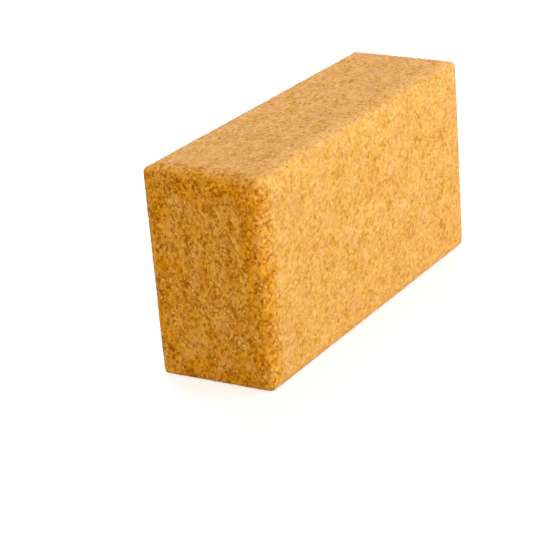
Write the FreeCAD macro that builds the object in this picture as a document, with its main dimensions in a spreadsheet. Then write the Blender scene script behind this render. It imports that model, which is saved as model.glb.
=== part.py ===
import FreeCAD, Part
import Sketcher
import os

# Cork yoga block: two cork boards glued face to face, then sawn, rounded and sanded as one brick.
# Millimetres. X runs through the thickness, Y along the length and Z up.
# The brick stands on a long narrow face, with the origin at the middle of that face.

# Name of each driving size, its value and what it measures
SIZES = (
    ("block_length", 230, "Y, from end face to end face"),
    ("block_height", 120, "Z, from the face it stands on to the face above"),
    ("board_thickness", 35.9, "X, one cork board"),
    ("glue_thickness", 0.2, "X, the cured glue between the boards"),
    ("glue_margin", 1, "bare rim round the glue, so that none shows outside"),
    ("edge_radius", 4, "rounding of every outer edge of the brick"),
)

HALF_TURN = 180
UP = FreeCAD.Vector(0, 0, 1)
# Lines of a rectangle in drawing order, and where a line's start and end are counted
BOTTOM, RIGHT, TOP, LEFT = range(4)
START, END = 1, 2
ORIGIN = -1


def make_sheet(doc):
    """The sizes, one per row, each under its own name."""
    sheet = doc.addObject("Spreadsheet::Sheet", "sizes")
    for row, (name, value, meaning) in enumerate(SIZES, start=1):
        sheet.set("A%d" % row, name)
        sheet.set("B%d" % row, str(value))
        sheet.set("C%d" % row, meaning)
        sheet.setAlias("B%d" % row, name)
    doc.recompute()
    return sheet


def glue_plane(body):
    """The body's own YZ plane, which is the middle of the glue joint."""
    for plane in body.Origin.OriginFeatures:
        if plane.Role == "YZ_Plane":
            return plane
    raise RuntimeError("no YZ plane in " + body.Label)


def add_outline(body, length_rule, height_rule):
    """A rectangle on the glue plane, centred on the body's origin."""
    sketch = body.newObject("Sketcher::SketchObject", body.Label + "_outline")
    sketch.AttachmentSupport = [(glue_plane(body), "")]
    sketch.MapMode = "FlatFace"
    corners = [FreeCAD.Vector(y, z, 0) for y, z in ((-1, -1), (1, -1), (1, 1), (-1, 1))]
    for number, corner in enumerate(corners):
        following = corners[(number + 1) % len(corners)]
        sketch.addGeometry(Part.LineSegment(corner, following), False)
    for number in range(len(corners)):
        following = (number + 1) % len(corners)
        sketch.addConstraint(Sketcher.Constraint("Coincident", number, END, following, START))
    for line in (BOTTOM, TOP):
        sketch.addConstraint(Sketcher.Constraint("Horizontal", line))
    for line in (RIGHT, LEFT):
        sketch.addConstraint(Sketcher.Constraint("Vertical", line))
    sketch.addConstraint(Sketcher.Constraint("Symmetric", BOTTOM, START, TOP, START, ORIGIN, START))
    for name, kind, line, rule in (
        ("length", "DistanceX", BOTTOM, length_rule),
        ("height", "DistanceY", RIGHT, height_rule),
    ):
        drawn = sketch.Geometry[line].length()
        place = sketch.addConstraint(Sketcher.Constraint(kind, line, START, line, END, drawn))
        sketch.renameConstraint(place, name)
        sketch.setExpression("Constraints." + name, rule)
    return sketch


def add_pad(body, sketch, thickness_rule):
    """The outline given its thickness, from the glue plane outwards along X."""
    pad = body.newObject("PartDesign::Pad", body.Label + "_pad")
    pad.Profile = sketch
    pad.setExpression("Length", thickness_rule)
    body.Document.recompute()
    return pad


def add_rounding(body, pad, edges):
    """The given edges of the pad rounded to the brick's edge radius."""
    rounding = body.newObject("PartDesign::Fillet", body.Label + "_rounding")
    rounding.Base = (pad, edges)
    rounding.setExpression("Radius", "sizes.edge_radius")
    body.Document.recompute()
    return rounding


def edges_off_glue_plane(pad):
    """Names of the edges that leave or lie away from the glue plane."""
    names = []
    for number, edge in enumerate(pad.Shape.Edges, start=1):
        if edge.BoundBox.XMax > edge.Tolerance:
            names.append("Edge%d" % number)
    return names


def edges_through_thickness(pad):
    """Names of the edges that run along X."""
    names = []
    for number, edge in enumerate(pad.Shape.Edges, start=1):
        if edge.BoundBox.XLength > max(edge.BoundBox.YLength, edge.BoundBox.ZLength):
            names.append("Edge%d" % number)
    return names


def new_body(doc, label, offset_rule, turn):
    """An empty piece at half height, turned about Z and set off along X from the joint's middle."""
    body = doc.addObject("PartDesign::Body", label)
    body.Label = label
    body.Placement = FreeCAD.Placement(FreeCAD.Vector(), FreeCAD.Rotation(UP, turn))
    body.setExpression("Placement.Base.x", offset_rule)
    body.setExpression("Placement.Base.z", "sizes.block_height / 2")
    return body


def cork_board(doc, label, offset_rule, turn):
    """One cork board: flat on the glue side, rounded on every outer edge."""
    body = new_body(doc, label, offset_rule, turn)
    outline = add_outline(body, "sizes.block_length", "sizes.block_height")
    pad = add_pad(body, outline, "sizes.board_thickness")
    add_rounding(body, pad, edges_off_glue_plane(pad))
    return body


def glue_film(doc, label):
    """The glue: a thin sheet that lies against both boards and stops short of their rims."""
    body = new_body(doc, label, "-sizes.glue_thickness / 2", 0)
    outline = add_outline(
        body,
        "sizes.block_length - 2 * sizes.glue_margin",
        "sizes.block_height - 2 * sizes.glue_margin",
    )
    pad = add_pad(body, outline, "sizes.glue_thickness")
    add_rounding(body, pad, edges_through_thickness(pad))
    return body


def check(doc, bodies):
    """Stop if any object failed or any piece is not one sound solid."""
    for item in doc.Objects:
        if "Invalid" in item.State or "Error" in item.State:
            raise RuntimeError("failed: " + item.Label)
    for body in bodies:
        if body.Shape.isNull() or not body.Shape.isValid() or len(body.Shape.Solids) != 1:
            raise RuntimeError("not one sound solid: " + body.Label)


def main():
    doc = FreeCAD.newDocument("yoga_block")
    make_sheet(doc)
    bodies = (
        cork_board(doc, "cork_board_right", "sizes.glue_thickness / 2", 0),
        cork_board(doc, "cork_board_left", "-sizes.glue_thickness / 2", HALF_TURN),
        glue_film(doc, "glue_film"),
    )
    doc.recompute()
    check(doc, bodies)
    os.makedirs("parts", exist_ok=True)
    for body in bodies:
        body.Shape.exportStep("parts/%s.step" % body.Label)
        box = body.Shape.BoundBox
        print(body.Label, "volume %.1f" % body.Shape.Volume)
        print("  from", box.XMin, box.YMin, box.ZMin, "to", box.XMax, box.YMax, box.ZMax)


main()
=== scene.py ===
import math

import bmesh
import bpy
from mathutils import Matrix, Quaternion, Vector, noise


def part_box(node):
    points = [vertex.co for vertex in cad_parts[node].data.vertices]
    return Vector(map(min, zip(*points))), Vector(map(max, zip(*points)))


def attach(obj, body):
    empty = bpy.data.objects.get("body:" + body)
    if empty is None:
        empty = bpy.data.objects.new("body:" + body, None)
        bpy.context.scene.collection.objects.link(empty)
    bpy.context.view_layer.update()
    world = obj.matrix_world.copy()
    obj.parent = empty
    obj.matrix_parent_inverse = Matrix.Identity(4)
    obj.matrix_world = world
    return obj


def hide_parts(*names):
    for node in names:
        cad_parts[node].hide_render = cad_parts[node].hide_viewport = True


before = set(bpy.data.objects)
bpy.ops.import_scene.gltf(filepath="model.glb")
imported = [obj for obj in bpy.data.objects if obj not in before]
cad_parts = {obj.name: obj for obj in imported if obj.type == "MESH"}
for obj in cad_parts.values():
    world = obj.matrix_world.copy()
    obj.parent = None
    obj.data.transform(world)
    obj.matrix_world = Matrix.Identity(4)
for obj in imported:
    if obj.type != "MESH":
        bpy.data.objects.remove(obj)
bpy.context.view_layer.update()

# Cork yoga block: two boards of agglomerated cork glued face to face and rounded as one brick.
# Metres, in the frame of the solids: X through the thickness, Y along the length, Z up.
MM = 0.001
AXES = range(3)

# Sizes of the brick that the solids give
RIGHT_LOW, RIGHT_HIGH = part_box("cork_board_right")
GLUE_LOW, GLUE_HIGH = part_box("glue_film")
HALF_THICKNESS = RIGHT_HIGH.x
LENGTH = RIGHT_HIGH.y - RIGHT_LOW.y
HEIGHT = RIGHT_HIGH.z - RIGHT_LOW.z
MIDDLE = Vector((0, 0, HEIGHT / 2))
HALF_SIZES = Vector((HALF_THICKNESS, LENGTH / 2, HEIGHT / 2))

# Sanding rounds the edges, and each face falls away a little towards them, more on the right than the left
TIP_RADIUS = 2.6 * MM
FALL_WIDTH = 12 * MM
FALL_DEPTH = 0.85 * MM
UNEVEN_SANDING = 0.6

# Mesh of a board: rounds and flats are cut to about the same spacing
TIP_SEGMENTS = 6
MESH_SPACING = 0.76 * MM
# What lies nearer to the joint than this lies in it
JOINT_REACH = MESH_SPACING / 10
# An edge is cut along an axis if it is longer than this and runs at least this straight along the axis
SHORTEST_RUN = 2 * TIP_RADIUS
STRAIGHT = 0.999

# Relief of the sanded cork, all of it sunk below the skin of the rounded board
RELIEF_GRANULE = 2.2 * MM
GRANULE_STEP = 0.20 * MM
GROOVE_DEPTH = 0.16 * MM
GROOVE_SHARE = 0.3
SANDING_WAVE = 34 * MM
SANDING_DEPTH = 0.14 * MM
VOID_SPACING = 9 * MM
VOID_RADIUS = 1.2 * MM
VOID_DEPTH = 0.45 * MM
VOID_CHANCE = 0.35

# Amber of the sawn ends, partly the cork's own deeper tone and partly painted shade: how far it reaches round
# their edges (painted shade there), and its share at an end's middle. Less of it on their rims is painted
# highlight; none on the long edges.
AMBER_SHADE_REACH = 14 * MM
FAR_AMBER_SHADE_REACH = 3 * MM
CENTRE_COVER = 0.65
RIM_HIGHLIGHT_SHARE = 0.35
# Powers that shape how the amber with its painted shade, and the paler edges, fade away from the ends and
# edges
SOON_POWER = 3
RIM_POWER = 3
LONG_EDGE_POWER = 4


def linear(hex_colour):
    """An sRGB hex colour as linear RGBA."""
    channels = [int(hex_colour[place:place + 2], 16) / 255 for place in (1, 3, 5)]
    straight = [c / 12.92 if c <= 0.04045 else ((c + 0.055) / 1.055) ** 2.4 for c in channels]
    return (*straight, 1.0)


def add(tree, kind, inputs, **settings):
    """A node with its settings, and its inputs set to a value or linked to a socket."""
    made = tree.nodes.new(kind)
    for name, value in settings.items():
        setattr(made, name, value)
    for name, value in inputs.items():
        if isinstance(value, bpy.types.NodeSocket):
            tree.links.new(value, made.inputs[name])
        else:
            made.inputs[name].default_value = value
    return made


def new_material(name):
    """An empty material and its node tree."""
    material = bpy.data.materials.new(name)
    material.use_nodes = True
    material.node_tree.nodes.clear()
    return material, material.node_tree


def set_stops(ramp, stops):
    """The stops of a colour ramp, from dark to light."""
    elements = ramp.color_ramp.elements
    while len(elements) < len(stops):
        elements.new(1.0)
    for element, (position, colour) in zip(elements, stops):
        element.position = position
        element.color = linear(colour)


# Sockets of a Mix node by number, because those for numbers and for colours share their names
MIX_SHARE, NUMBER_A, NUMBER_B, COLOUR_A, COLOUR_B = 0, 2, 3, 6, 7
MIXED_COLOUR = 2

# Noise, chances and tones run from 0 to 1 about this middle
MID_TONE = 0.5
MID_TONES = (MID_TONE, MID_TONE, MID_TONE)

# Granules: pressing through the thickness leaves them flatter along X and longer along Y
PRESSED_SHAPE = (1.3, 0.85, 1.0)
COARSE_GRANULE = 2.6 * MM
FINE_GRANULE = 1.5 * MM
COARSE_SHARE = 0.42
RAGGED_SCALE = 0.9 * MM
RAGGED_REACH = 0.8 * MM
RAGGED_DETAIL = 2.0

# Tones of the granules, what the clouds, the paler edges (wear and painted highlight) and sawn ends do to
# them, and the amber of the ends, partly painted shade
CORK_TONES = (
    (0.0, "#C48628"),
    (0.25, "#DD9D3B"),
    (0.5, "#E8AE4F"),
    (0.75, "#EFB75C"),
    (1.0, "#F6C474"),
)
CLOUD_SCALE = 11 * MM
CLOUD_DETAIL = 3.0
CLOUD_SWING = 1.0
END_SWING = 1.9
# More granule contrast on the sawn ends: painted light and shade of the relief
END_RELIEF_SHADING_CONTRAST = 1.0
# Paler edges: part wear, part painted highlight
EDGE_WEAR_AND_HIGHLIGHT_LIFT = 0.12
# Amber multiplied onto the ends: partly the cork's own end tone, partly painted shade
END_AMBER_AND_SHADE = "#F3DA62"
COVER_SWING = 2.0

# Rosy granules: the warmth from which they show, that of the rosiest, and what a granule adds to its cloud
ROSY_CORK = "#E6A660"
ROSY_FROM = 0.15
ROSY_FULL = 0.5
ROSY_STRENGTH = 0.8
GRANULE_WARMTH = 0.4

# Pale granules: the chance from which they show, their strength on the long faces and the painted highlight
# that the ends add
PALE_CORK = "#FAD08A"
PALE_FROM = 0.7
PALE_STRENGTH = 0.5
# What the ends add is painted highlight of the relief
END_PAINTED_HIGHLIGHT = 0.9

# Flecks of bark: core and rim as shares of their spacing, and the chance from which they show
BARK_BROWN = "#8A4A08"
FLECK_SPACING = 2.8 * MM
FLECK_CORE = 0.12
FLECK_RIM = 0.34
FLECK_FROM = 0.6
FLECK_STRENGTH = 0.9

# Crevices: the noise at which they are darkest and at which they end, and their strength likewise
CREVICE_BROWN = "#A66006"
CREVICE_SCALE = 2.3 * MM
CREVICE_DETAIL = 4.0
CREVICE_ROUGHNESS = 0.68
CREVICE_DARKEST = 0.32
CREVICE_END = 0.47
CREVICE_STRENGTH = 0.42
# Crevice shade added on the sawn ends: painted shade of the relief
END_PAINTED_CREVICE_SHADE = 0.75
CLUMPING = 0.12

# Surface of the cork: fine relief, and the roughness of its darkest and its palest granules
BUMP_DEPTH = 0.26 * MM
DARK_ROUGHNESS = 0.95
PALE_ROUGHNESS = 0.8
CORK_SPECULAR = 0.05


def shaken_places(tree, place):
    """The places shaken about, so that the granules laid out on them have ragged outlines."""
    ragged = add(tree, "ShaderNodeTexNoise", {
        "Vector": place,
        "Scale": 1 / RAGGED_SCALE,
        "Detail": RAGGED_DETAIL,
    })
    about_nil = add(tree, "ShaderNodeVectorMath", {
        0: ragged.outputs["Color"],
        1: MID_TONES,
    }, operation="SUBTRACT")
    shake = add(tree, "ShaderNodeVectorMath", {
        0: about_nil.outputs[0],
        "Scale": RAGGED_REACH,
    }, operation="SCALE")
    return add(tree, "ShaderNodeVectorMath", {0: place, 1: shake.outputs[0]}, operation="ADD").outputs[0]


def granule_chances(tree, places, size):
    """Three chances for each granule of a size, as red, green and blue."""
    granules = add(tree, "ShaderNodeTexVoronoi", {"Vector": places, "Scale": 1 / size})
    return add(tree, "ShaderNodeSeparateColor", {"Color": granules.outputs["Color"]}).outputs


def slow_clouds(tree, place):
    """Slow clouds about nil that the pressing leaves: X for tone, Y for warmth and Z for crevices."""
    cloud = add(tree, "ShaderNodeTexNoise", {
        "Vector": place,
        "Scale": 1 / CLOUD_SCALE,
        "Detail": CLOUD_DETAIL,
    })
    about_nil = add(tree, "ShaderNodeVectorMath", {
        0: cloud.outputs["Color"],
        1: MID_TONES,
    }, operation="SUBTRACT")
    return add(tree, "ShaderNodeSeparateXYZ", {"Vector": about_nil.outputs[0]}).outputs


def granule_colour(tree, tone, clouds, amber_and_shade):
    """The tan of each granule, which the clouds make lighter or darker and the edges' wear and painted
    highlight make paler.
    """
    # Clouds are strongest on the sawn ends
    swing = add(tree, "ShaderNodeMath", {0: amber_and_shade, 1: END_SWING, 2: CLOUD_SWING}, operation="MULTIPLY_ADD")
    slow_tone = add(tree, "ShaderNodeMath", {
        0: clouds["X"],
        1: swing.outputs[0],
        2: MID_TONE,
    }, operation="MULTIPLY_ADD")

    # Granules differ more in tone on the sawn ends, as painted light and shade of their relief
    contrast = add(tree, "ShaderNodeMath", {0: amber_and_shade, 1: END_RELIEF_SHADING_CONTRAST, 2: 1.0}, operation="MULTIPLY_ADD")
    from_middle = add(tree, "ShaderNodeMath", {0: tone, 1: MID_TONE}, operation="SUBTRACT")
    clouded = add(tree, "ShaderNodeMath", {
        0: from_middle.outputs[0],
        1: contrast.outputs[0],
        2: slow_tone.outputs[0],
    }, operation="MULTIPLY_ADD")

    # The long edges and the rims of the ends are paler: part wear, part painted highlight
    edge_lift = add(tree, "ShaderNodeAttribute", {}, attribute_name="edge_wear_and_highlight")
    lifted = add(tree, "ShaderNodeMath", {
        0: edge_lift.outputs["Fac"],
        1: EDGE_WEAR_AND_HIGHLIGHT_LIFT,
        2: clouded.outputs[0],
    }, operation="MULTIPLY_ADD")
    tones = add(tree, "ShaderNodeValToRGB", {"Fac": lifted.outputs[0]})
    set_stops(tones, CORK_TONES)
    return tones.outputs["Color"]


def with_rosy_granules(tree, colour, chances, clouds):
    """Some coarse granules rosier than the rest, gathered in clouds of their own."""
    warmth = add(tree, "ShaderNodeMath", {
        0: chances["Green"],
        1: GRANULE_WARMTH,
        2: clouds["Y"],
    }, operation="MULTIPLY_ADD")
    rosy = add(tree, "ShaderNodeMapRange", {
        "Value": warmth.outputs[0],
        "From Min": ROSY_FROM,
        "From Max": ROSY_FULL,
        "To Max": ROSY_STRENGTH,
    })
    return add(tree, "ShaderNodeMix", {
        MIX_SHARE: rosy.outputs[0],
        COLOUR_A: colour,
        COLOUR_B: linear(ROSY_CORK),
    }, data_type="RGBA").outputs[MIXED_COLOUR]


def with_pale_granules(tree, colour, chances, amber_and_shade):
    """A few fine granules pale, paler still on the sawn ends as painted highlights of the relief."""
    palest = add(tree, "ShaderNodeMath", {0: amber_and_shade, 1: END_PAINTED_HIGHLIGHT, 2: PALE_STRENGTH}, operation="MULTIPLY_ADD")
    pale = add(tree, "ShaderNodeMapRange", {
        "Value": chances["Blue"],
        "From Min": PALE_FROM,
        "To Max": palest.outputs[0],
    })
    return add(tree, "ShaderNodeMix", {
        MIX_SHARE: pale.outputs[0],
        COLOUR_A: colour,
        COLOUR_B: linear(PALE_CORK),
    }, data_type="RGBA").outputs[MIXED_COLOUR]


def with_bark_flecks(tree, colour, places):
    """Small bits of bark among the granules, as dark brown dots, some stronger than others."""
    flecks = add(tree, "ShaderNodeTexVoronoi", {"Vector": places, "Scale": 1 / FLECK_SPACING})
    chances = add(tree, "ShaderNodeSeparateColor", {"Color": flecks.outputs["Color"]})
    dot = add(tree, "ShaderNodeMapRange", {
        "Value": flecks.outputs["Distance"],
        "From Min": FLECK_CORE,
        "From Max": FLECK_RIM,
        "To Min": 1.0,
        "To Max": 0.0,
    })
    strength = add(tree, "ShaderNodeMapRange", {
        "Value": chances.outputs["Red"],
        "From Min": FLECK_FROM,
        "To Max": FLECK_STRENGTH,
    })
    bark = add(tree, "ShaderNodeMath", {0: dot.outputs[0], 1: strength.outputs[0]}, operation="MULTIPLY")
    return add(tree, "ShaderNodeMix", {
        MIX_SHARE: bark.outputs[0],
        COLOUR_A: colour,
        COLOUR_B: linear(BARK_BROWN),
    }, data_type="RGBA").outputs[MIXED_COLOUR]


def crevice_shade(tree, places, clouds, amber_and_shade):
    """Shade in the crevices between granules, most of all on the sawn ends, and in the voids the saw cut."""
    darkest = add(tree, "ShaderNodeMath", {
        0: amber_and_shade,
        1: END_PAINTED_CREVICE_SHADE,
        2: CREVICE_STRENGTH,
    }, operation="MULTIPLY_ADD")
    rough = add(tree, "ShaderNodeTexNoise", {
        "Vector": places,
        "Scale": 1 / CREVICE_SCALE,
        "Detail": CREVICE_DETAIL,
        "Roughness": CREVICE_ROUGHNESS,
    })
    clumped = add(tree, "ShaderNodeMath", {
        0: clouds["Z"],
        1: CLUMPING,
        2: rough.outputs["Fac"],
    }, operation="MULTIPLY_ADD")
    crevice = add(tree, "ShaderNodeMapRange", {
        "Value": clumped.outputs[0],
        "From Min": CREVICE_DARKEST,
        "From Max": CREVICE_END,
        "To Min": darkest.outputs[0],
        "To Max": 0.0,
    })
    void = add(tree, "ShaderNodeAttribute", {}, attribute_name="void")
    return add(tree, "ShaderNodeMath", {
        0: crevice.outputs[0],
        1: void.outputs["Fac"],
    }, operation="MAXIMUM").outputs[0]


def with_amber_and_painted_shade(tree, colour, clouds, amber_and_shade):
    """A deeper amber on the sawn ends than on the long faces, partly the cork's own end tone and partly
    painted shade, less so where the cork is rosy.
    """
    patchy = add(tree, "ShaderNodeMath", {0: clouds["Y"], 1: -COVER_SWING, 2: 1.0}, operation="MULTIPLY_ADD")
    cover = add(tree, "ShaderNodeMath", {0: amber_and_shade, 1: patchy.outputs[0]}, operation="MULTIPLY")
    return add(tree, "ShaderNodeMix", {
        MIX_SHARE: cover.outputs[0],
        COLOUR_A: colour,
        COLOUR_B: linear(END_AMBER_AND_SHADE),
    }, data_type="RGBA", blend_type="MULTIPLY").outputs[MIXED_COLOUR]


def agglomerated_cork():
    """Cork granules pressed with a binder, sawn and sanded: matt, in tan tones, with dark bark flecks."""
    material, tree = new_material("agglomerated_cork")
    amber_and_shade = add(tree, "ShaderNodeAttribute", {}, attribute_name="amber_and_shade").outputs["Fac"]
    from_origin = add(tree, "ShaderNodeTexCoord", {}).outputs["Object"]
    pressed = add(tree, "ShaderNodeVectorMath", {0: from_origin, 1: PRESSED_SHAPE}, operation="MULTIPLY")
    place = pressed.outputs[0]
    shaken = shaken_places(tree, place)
    clouds = slow_clouds(tree, place)

    # Coarse granules lie among finer ones, each with a tone of its own
    coarse = granule_chances(tree, shaken, COARSE_GRANULE)
    fine = granule_chances(tree, shaken, FINE_GRANULE)
    tone = add(tree, "ShaderNodeMix", {
        MIX_SHARE: COARSE_SHARE,
        NUMBER_A: fine["Red"],
        NUMBER_B: coarse["Red"],
    }).outputs[0]

    colour = granule_colour(tree, tone, clouds, amber_and_shade)
    colour = with_rosy_granules(tree, colour, coarse, clouds)
    colour = with_pale_granules(tree, colour, fine, amber_and_shade)
    colour = with_bark_flecks(tree, colour, shaken)
    shade = crevice_shade(tree, shaken, clouds, amber_and_shade)
    creviced = add(tree, "ShaderNodeMix", {
        MIX_SHARE: shade,
        COLOUR_A: colour,
        COLOUR_B: linear(CREVICE_BROWN),
    }, data_type="RGBA").outputs[MIXED_COLOUR]

    # Fine relief of the granules, too small for the mesh
    height = add(tree, "ShaderNodeMath", {0: tone, 1: shade}, operation="SUBTRACT")
    bump = add(tree, "ShaderNodeBump", {
        "Height": height.outputs[0],
        "Strength": 1.0,
        "Distance": BUMP_DEPTH,
    })
    rough = add(tree, "ShaderNodeMapRange", {
        "Value": tone,
        "To Min": DARK_ROUGHNESS,
        "To Max": PALE_ROUGHNESS,
    })
    surface = add(tree, "ShaderNodeBsdfPrincipled", {
        "Base Color": with_amber_and_painted_shade(tree, creviced, clouds, amber_and_shade),
        "Roughness": rough.outputs[0],
        "Normal": bump.outputs[0],
        "Specular IOR Level": CORK_SPECULAR,
    })
    add(tree, "ShaderNodeOutputMaterial", {"Surface": surface.outputs[0]})
    return material


# Glue: core and rim of a bubble as shares of the bubbles' spacing
HONEY = "#B98A45"
PALE_HONEY = "#DDBB80"
BUBBLE_SPACING = 3 * MM
BUBBLE_CORE = 0.15
BUBBLE_RIM = 0.3
GLUE_ROUGHNESS = 0.4


def cured_glue():
    """Cured polyurethane glue: honey coloured, with small bubbles that show as paler spots."""
    material, tree = new_material("cured_polyurethane_glue")
    place = add(tree, "ShaderNodeTexCoord", {}).outputs["Object"]
    bubbles = add(tree, "ShaderNodeTexVoronoi", {"Vector": place, "Scale": 1 / BUBBLE_SPACING})
    pale = add(tree, "ShaderNodeMapRange", {
        "Value": bubbles.outputs["Distance"],
        "From Min": BUBBLE_CORE,
        "From Max": BUBBLE_RIM,
        "To Min": 1.0,
        "To Max": 0.0,
    })
    colour = add(tree, "ShaderNodeMix", {
        MIX_SHARE: pale.outputs[0],
        COLOUR_A: linear(HONEY),
        COLOUR_B: linear(PALE_HONEY),
    }, data_type="RGBA")
    surface = add(tree, "ShaderNodeBsdfPrincipled", {
        "Base Color": colour.outputs[MIXED_COLOUR],
        "Roughness": GLUE_ROUGHNESS,
    })
    add(tree, "ShaderNodeOutputMaterial", {"Surface": surface.outputs[0]})
    return material


def new_object(name, data):
    """A new object in the scene, at the origin."""
    made = bpy.data.objects.new(name, data)
    bpy.context.scene.collection.objects.link(made)
    return made


def finished_mesh(name, bm, material):
    """A mesh of one material from a bmesh, which is freed."""
    mesh = bpy.data.meshes.new(name)
    bm.to_mesh(mesh)
    bm.free()
    mesh.materials.append(material)
    return mesh


def runs_along(edge, axis):
    """Whether an edge is a long one that runs along an axis."""
    span = edge.verts[1].co - edge.verts[0].co
    return abs(span[axis]) > max(SHORTEST_RUN, STRAIGHT * span.length)


def rounded_shell():
    """The outside of the right board, open at the joint, with its flats and rounds cut to a fine grid."""
    bm = bmesh.new()
    bmesh.ops.create_cube(bm, size=1)
    bmesh.ops.scale(bm, vec=(HALF_THICKNESS, LENGTH, HEIGHT), verts=bm.verts)
    bmesh.ops.translate(bm, vec=MIDDLE + Vector((HALF_THICKNESS / 2, 0, 0)), verts=bm.verts)
    outer = [e for e in bm.edges if max(v.co.x for v in e.verts) > JOINT_REACH]
    bmesh.ops.bevel(bm, geom=outer, offset=TIP_RADIUS, offset_type="OFFSET", segments=TIP_SEGMENTS,
                    profile=0.5, affect="EDGES", material=-1)
    joint = [f for f in bm.faces if max(v.co.x for v in f.verts) < JOINT_REACH]
    bmesh.ops.delete(bm, geom=joint, context="FACES_ONLY")
    for axis in AXES:
        runs = [e for e in bm.edges if runs_along(e, axis)]
        cuts = round(runs[0].calc_length() / MESH_SPACING) - 1
        bmesh.ops.subdivide_edges(bm, edges=runs, cuts=cuts)
    return bm


def extruded(bm, edges):
    """The new vertices and edges of an extrusion that has yet to be moved away from the old edges."""
    made = bmesh.ops.extrude_edge_only(bm, edges=edges)["geom"]
    new_verts = [g for g in made if isinstance(g, bmesh.types.BMVert)]
    new_edges = [g for g in made if isinstance(g, bmesh.types.BMEdge)]
    return new_verts, new_edges


def close_joint(bm):
    """Closes the right board's shell at the joint: a bare rim, then a shallow bed for half of the glue."""
    rim = [e for e in bm.edges if e.is_boundary]
    ring_verts, ring_edges = extruded(bm, rim)
    glue_size = GLUE_HIGH - GLUE_LOW
    shrink = Vector((1, glue_size.y / LENGTH, glue_size.z / HEIGHT))
    bmesh.ops.scale(bm, vec=shrink, space=Matrix.Translation(-MIDDLE), verts=ring_verts)
    bed_verts, bed_edges = extruded(bm, ring_edges)
    bmesh.ops.translate(bm, vec=(GLUE_HIGH.x, 0, 0), verts=bed_verts)
    bmesh.ops.holes_fill(bm, edges=bed_edges)
    for edge in rim:
        edge.smooth = False
    bmesh.ops.recalc_face_normals(bm, faces=bm.faces)


def nearness(point, reach):
    """How near a point lies to the brick's outside along each axis: 1 at the outside, 0 from the reach on."""
    place = point - MIDDLE
    return Vector([max(0.0, 1 - (HALF_SIZES[axis] - abs(place[axis])) / reach) for axis in AXES])


def either(one, other):
    """The share that two shares cover together."""
    return 1 - (1 - one) * (1 - other)


def soon(share):
    """A share that rises fast at first and then levels off."""
    return 1 - (1 - share) ** SOON_POWER


def from_signed(value):
    """A noise from -1 to 1 as one from 0 to 1."""
    return (1 + value) / 2


def face_fall(point, near):
    """How far sanding draws a point of the skin in along each axis, from the faces' fall to their edges."""
    place = point - MIDDLE
    depth = FALL_DEPTH * (1 + UNEVEN_SANDING * place.x / HALF_SIZES.x)
    fall = Vector()
    for axis in AXES:
        # The two other axes are counted back from this one
        across = either(near[axis - 1] ** 2, near[axis - 2] ** 2)
        fall[axis] = -math.copysign(depth * across * near[axis], place[axis])
    return fall


def cork_relief(point):
    """How far below the skin the sanded cork lies at a point, and how deep in a cut void, from 0 to 1."""
    distances, centres = noise.voronoi(point * Vector(PRESSED_SHAPE) / RELIEF_GRANULE)
    groove = max(0.0, 1 - (distances[1] - distances[0]) / GROOVE_SHARE)
    step = from_signed(noise.cell(centres[0]))
    wave = from_signed(noise.noise(point / SANDING_WAVE))
    void_distances, void_centres = noise.voronoi(point / VOID_SPACING)
    void = 0.0
    if from_signed(noise.cell(void_centres[0])) < VOID_CHANCE:
        reach = min(1.0, void_distances[0] * VOID_SPACING / VOID_RADIUS)
        void = (1 - reach ** 2) ** 2
    depth = GROOVE_DEPTH * groove + GRANULE_STEP * step + SANDING_DEPTH * wave + VOID_DEPTH * void
    return depth, void


def edge_lift_and_amber_shade(point, near):
    """How much paler the skin is at a point, from wear and painted highlight, and how much amber of the sawn
    ends, partly painted shade, it has; both from 0 to 1.
    """
    amber_shade_near = nearness(point, AMBER_SHADE_REACH)
    if point.y > 0:
        # The far end's amber hardly leaves its own face; the near end's wraps round onto the long faces as
        # painted shade
        amber_shade_near.y = nearness(point, FAR_AMBER_SHADE_REACH).y
    long_edge = near.x * near.z
    end_rim = either(near.x, near.z) * near.y ** RIM_POWER
    edge_lift = max(end_rim, soon(long_edge))
    outer_part = soon(either(amber_shade_near.x, amber_shade_near.z)) * amber_shade_near.y ** 2
    cover = soon(amber_shade_near.y) * (CENTRE_COVER + (1 - CENTRE_COVER) * outer_part)
    # Less amber at the rims of the ends leaves them paler, a painted highlight
    amber_and_shade = cover - RIM_HIGHLIGHT_SHARE * end_rim ** 2 - long_edge ** LONG_EDGE_POWER
    return edge_lift, max(0.0, amber_and_shade)


def cork_board(name, node, turn, material):
    """One cork board, turned about Z to its side of the joint, with the relief of sanded cork."""
    bm = rounded_shell()
    void_layer = bm.verts.layers.float.new("void")
    edge_layer = bm.verts.layers.float.new("edge_wear_and_highlight")
    amber_and_shade_layer = bm.verts.layers.float.new("amber_and_shade")
    bm.normal_update()
    spin = Matrix.Rotation(turn, 3, "Z")
    skin = list(bm.verts)
    outward = [spin @ v.normal for v in skin]
    close_joint(bm)
    bmesh.ops.rotate(bm, matrix=spin, verts=bm.verts)
    for vert, normal in zip(skin, outward):
        near = nearness(vert.co, FALL_WIDTH)
        depth, vert[void_layer] = cork_relief(vert.co)
        vert[edge_layer], vert[amber_and_shade_layer] = edge_lift_and_amber_shade(vert.co, near)
        vert.co += face_fall(vert.co, near) - normal * depth
    for face in bm.faces:
        face.smooth = True
    board = new_object(name, finished_mesh(name, bm, material))
    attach(board, "root")
    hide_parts(node)


# Camera at the photograph's place, fitted to the block's outline
CAMERA_LENS = 120.1
SENSOR_WIDTH = 36
CAMERA_AZIMUTH = math.radians(33.23)
CAMERA_ELEVATION = math.radians(22.26)
CAMERA_ROLL = math.radians(-4.77)
CAMERA_DISTANCE = 1050.7 * MM
CAMERA_AIM = MIDDLE + Vector((-15.6, -26.2, -32.8)) * MM

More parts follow.
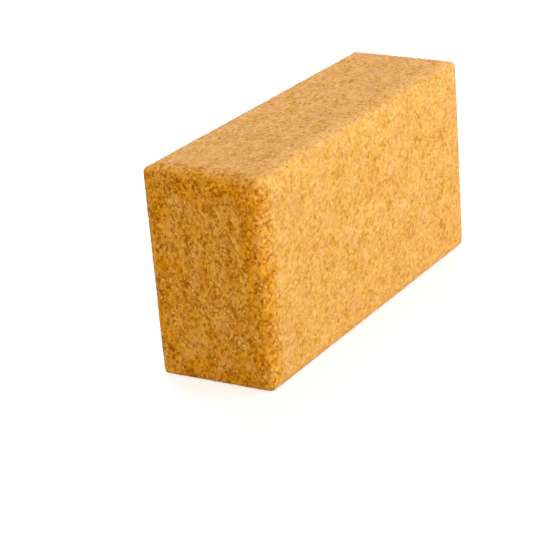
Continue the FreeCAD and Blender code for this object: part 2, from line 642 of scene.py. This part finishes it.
# Softboxes: name, direction from the brick, distance and side in metres, watts and colour
SOFTBOXES = (
    ("right_softbox", (0.85, 0.30, 0.20), 1.2, 0.7, 13.0, "#E6EDFF"),
    ("top_softbox", (-0.55, 0.55, 1.00), 1.2, 0.9, 17.0, "#BEC0FF"),
    ("front_softbox", (0.45, -0.88, 0.62), 2.5, 1.5, 42.4, "#FFF3C9"),
)

# Floor and surroundings: half the floor's side in metres, its colour as it lights the brick and as it is
# shown, and the strengths of its glow and of the light from all round
WHITE = "#FFFFFF"
FLOOR_HALF = 3
FLOOR_SAND = "#CDBFA8"
FLOOR_SHOWN = "#B6B6B8"
FLOOR_GLOW = 0.7
AMBIENT = 0.12


def aim(item, target, away, distance, roll):
    """Puts a camera or light at a distance from its target, and turns it to face the target."""
    item.location = target + away * distance
    item.rotation_mode = "QUATERNION"
    item.rotation_quaternion = (-away).to_track_quat("-Z", "Y") @ Quaternion((0, 0, 1), roll)


def photograph_camera():
    """The camera that shows the brick as the photograph does."""
    data = bpy.data.cameras.new("camera")
    data.lens = CAMERA_LENS
    data.sensor_width = SENSOR_WIDTH
    camera = new_object("camera", data)
    level = math.cos(CAMERA_ELEVATION)
    away = Vector((
        math.sin(CAMERA_AZIMUTH) * level,
        -math.cos(CAMERA_AZIMUTH) * level,
        math.sin(CAMERA_ELEVATION),
    ))
    aim(camera, CAMERA_AIM, away, CAMERA_DISTANCE, CAMERA_ROLL)
    bpy.context.scene.camera = camera


def softbox(name, direction, distance, size, power, colour):
    """A square studio light that faces the middle of the brick."""
    data = bpy.data.lights.new(name, "AREA")
    data.size = size
    data.energy = power
    data.color = linear(colour)[:3]
    aim(new_object(name, data), MIDDLE, Vector(direction).normalized(), distance, 0)


def shown_directly(tree):
    """1 for what the camera sees, straight, in a gloss or through glass, and 0 for light on other things."""
    path = add(tree, "ShaderNodeLightPath", {}).outputs
    straight_or_gloss = add(tree, "ShaderNodeMath", {
        0: path["Is Camera Ray"],
        1: path["Is Glossy Ray"],
    }, operation="MAXIMUM")
    return add(tree, "ShaderNodeMath", {
        0: straight_or_gloss.outputs[0],
        1: path["Is Transmission Ray"],
    }, operation="MAXIMUM").outputs[0]


def matt_paper():
    """Matt sand-coloured paper that the camera sees as white, with the brick's shadow on it."""
    material, tree = new_material("matt_paper")
    paper = add(tree, "ShaderNodeBsdfDiffuse", {"Color": linear(FLOOR_SAND)})
    lit = add(tree, "ShaderNodeBsdfDiffuse", {"Color": linear(FLOOR_SHOWN)})
    glow = add(tree, "ShaderNodeEmission", {"Color": linear(WHITE), "Strength": FLOOR_GLOW})
    white = add(tree, "ShaderNodeAddShader", {0: lit.outputs[0], 1: glow.outputs[0]})
    shown = add(tree, "ShaderNodeMixShader", {
        0: shown_directly(tree),
        1: paper.outputs[0],
        2: white.outputs[0],
    })
    add(tree, "ShaderNodeOutputMaterial", {"Surface": shown.outputs[0]})
    return material


def pale_floor():
    """The flat floor that the brick stands on."""
    bm = bmesh.new()
    bmesh.ops.create_grid(bm, x_segments=1, y_segments=1, size=FLOOR_HALF)
    floor = new_object("floor", finished_mesh("floor", bm, matt_paper()))


def studio_world():
    """Dim even light from all round, with a white backdrop for what the camera sees directly."""
    world = bpy.data.worlds.new("studio")
    world.use_nodes = True
    bpy.context.scene.world = world
    tree = world.node_tree
    tree.nodes.clear()
    around = add(tree, "ShaderNodeBackground", {"Color": linear(WHITE), "Strength": AMBIENT})
    backdrop = add(tree, "ShaderNodeBackground", {"Color": linear(WHITE), "Strength": 1.0})
    mixed = add(tree, "ShaderNodeMixShader", {
        0: shown_directly(tree),
        1: around.outputs[0],
        2: backdrop.outputs[0],
    })
    add(tree, "ShaderNodeOutputWorld", {"Surface": mixed.outputs[0]})


cork = agglomerated_cork()
cork_board("right_cork_board", "cork_board_right", 0, cork)
cork_board("left_cork_board", "cork_board_left", math.pi, cork)
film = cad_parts["glue_film"]
film.data.materials.clear()
film.data.materials.append(cured_glue())

photograph_camera()
pale_floor()
studio_world()
for box in SOFTBOXES:
    softbox(*box)
bpy.context.scene.view_settings.view_transform = "Standard"
